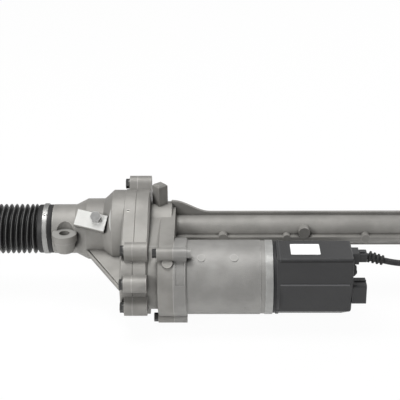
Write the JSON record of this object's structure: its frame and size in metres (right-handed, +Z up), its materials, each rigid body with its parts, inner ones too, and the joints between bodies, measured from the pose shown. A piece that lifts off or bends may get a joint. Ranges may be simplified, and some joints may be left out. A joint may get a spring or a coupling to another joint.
{
  "type": "steering rack",
  "caption": "Electric power steering rack with a belt-driven ball nut beside its motor, a pinion tower, bellows and tie rods.",
  "frame": {"origin": "axis of the left mounting eye's bore, at the height of the rack bar's axis", "axes": "+X along the rack bar from the motor end to the pinion end, +Y from the motor's side to the yoke's side, +Z up along the steering input"},
  "size_m": [1.242, 0.1862, 0.1856],
  "materials": {
    "cast_aluminium": "die-cast, matt",
    "bolt_steel": "zinc flake",
    "bar_steel": "ground",
    "band_steel": "rolled strip",
    "core_steel": "laminated",
    "magnet": "coated",
    "copper": "enamelled wire",
    "black_plastic": "moulded",
    "board": "solder mask",
    "slide_plastic": "natural",
    "boot_rubber": "moulded, satin",
    "lead_sheath": "woven sleeve"
  },
  "bodies": {
    "root": {"ball_nut_housing": "cast_aluminium", "rack_housing": "cast_aluminium", "housing_bolts": "bolt_steel", "pad_screw": "bolt_steel", "motor_housing": "cast_aluminium", "motor_end_cover": "cast_aluminium", "motor_bolts": "bolt_steel", "stator_core": "core_steel", "stator_windings": "copper", "motor_bearing_outers": "bar_steel", "nut_bearing_outer": "bar_steel", "nut_bearing_balls": "bar_steel", "bearing_lock_ring": "bar_steel", "drive_belt": "boot_rubber", "rack_stops": "slide_plastic", "rack_bush": "slide_plastic", "yoke": "slide_plastic", "yoke_springs": "bar_steel", "yoke_plug": "bolt_steel", "pinion_bearings": "bar_steel", "pinion_cap": "bolt_steel", "sensor_housing": "black_plastic", "sensor_screws": "bolt_steel", "dust_seal": "boot_rubber", "unit_housing": "black_plastic", "unit_lid": "black_plastic", "circuit_board": "board", "power_socket": "black_plastic", "sensor_socket": "black_plastic", "sensor_plug": "black_plastic", "grommet": "boot_rubber", "sensor_lead": "lead_sheath", "torque_plug": "black_plastic", "left_boot": "boot_rubber", "right_boot": "boot_rubber", "boot_clamps": "band_steel"},
    "rack": {"rack_bar": "bar_steel", "left_joint_socket": "bar_steel", "right_joint_socket": "bar_steel"},
    "nut": {"ball_nut": "bar_steel", "ball_return": "slide_plastic", "screw_balls": "bar_steel", "nut_bearing_inner": "bar_steel", "driven_pulley": "bar_steel"},
    "rotor": {"motor_shaft": "bar_steel", "rotor_core": "core_steel", "rotor_magnets": "magnet", "motor_bearing_inners": "bar_steel", "drive_pulley": "bar_steel"},
    "pinion": {"pinion_shaft": "bar_steel", "pinion_bearing_inner": "bar_steel"},
    "input": {"input_shaft": "bar_steel", "torsion_bar": "bar_steel", "magnet_ring": "magnet"},
    "left_seat": {"left_ball_seat": "slide_plastic"},
    "right_seat": {"right_ball_seat": "slide_plastic"},
    "left_rod": {"left_tie_rod": "bar_steel", "left_cuff_clip": "band_steel"},
    "right_rod": {"right_tie_rod": "bar_steel", "right_cuff_clip": "band_steel"}
  },
  "joints": [
    {"name": "motor_turn", "type": "hinge", "parent": "root", "child": "rotor", "pos_m": [0.2, -0.03621, -0.02908], "axis": [1, 0, 0], "range_deg": [-8100.81, 8100.81]},
    {"name": "rack_slide", "type": "slide", "parent": "root", "child": "rack", "axis": [1, 0, 0], "range_m": [-0.075, 0.075], "deforming": ["left_boot", "right_boot"]},
    {"name": "nut_turn", "type": "hinge", "parent": "root", "child": "nut", "pos_m": [0.06, 0.034, 0], "axis": [1, 0, 0], "range_deg": [-2700.27, 2700.27]},
    {"name": "pinion_turn", "type": "hinge", "parent": "root", "child": "pinion", "pos_m": [0.5, 0.01794, 0], "axis": [0, 0, 1], "range_deg": [-537.2, 537.2]},
    {"name": "input_twist", "type": "hinge", "parent": "pinion", "child": "input", "pos_m": [0.5, 0.01794, 0.06], "axis": [0, 0, 1], "range_deg": [-4, 4], "stiffness_Nm_per_rad": 120},
    {"name": "left_rod_lift", "type": "hinge", "parent": "rack", "child": "left_seat", "pos_m": [-0.122, 0.034, 0], "axis": [0, 1, 0], "range_deg": [-20, 20]},
    {"name": "left_rod_sweep", "type": "hinge", "parent": "left_seat", "child": "left_rod", "pos_m": [-0.122, 0.034, 0], "axis": [0, 0, 1], "range_deg": [-20, 20]},
    {"name": "right_rod_lift", "type": "hinge", "parent": "rack", "child": "right_seat", "pos_m": [0.692, 0.034, 0], "axis": [0, 1, 0], "range_deg": [-20, 20]},
    {"name": "right_rod_sweep", "type": "hinge", "parent": "right_seat", "child": "right_rod", "pos_m": [0.692, 0.034, 0], "axis": [0, 0, 1], "range_deg": [-20, 20]}
  ],
  "couplings": [
    {"joint": "motor_turn", "follows": "rack_slide", "rad_per_m": 1885},
    {"joint": "nut_turn", "follows": "rack_slide", "rad_per_m": 628.32},
    {"joint": "pinion_turn", "follows": "rack_slide", "rad_per_m": -125}
  ]
}
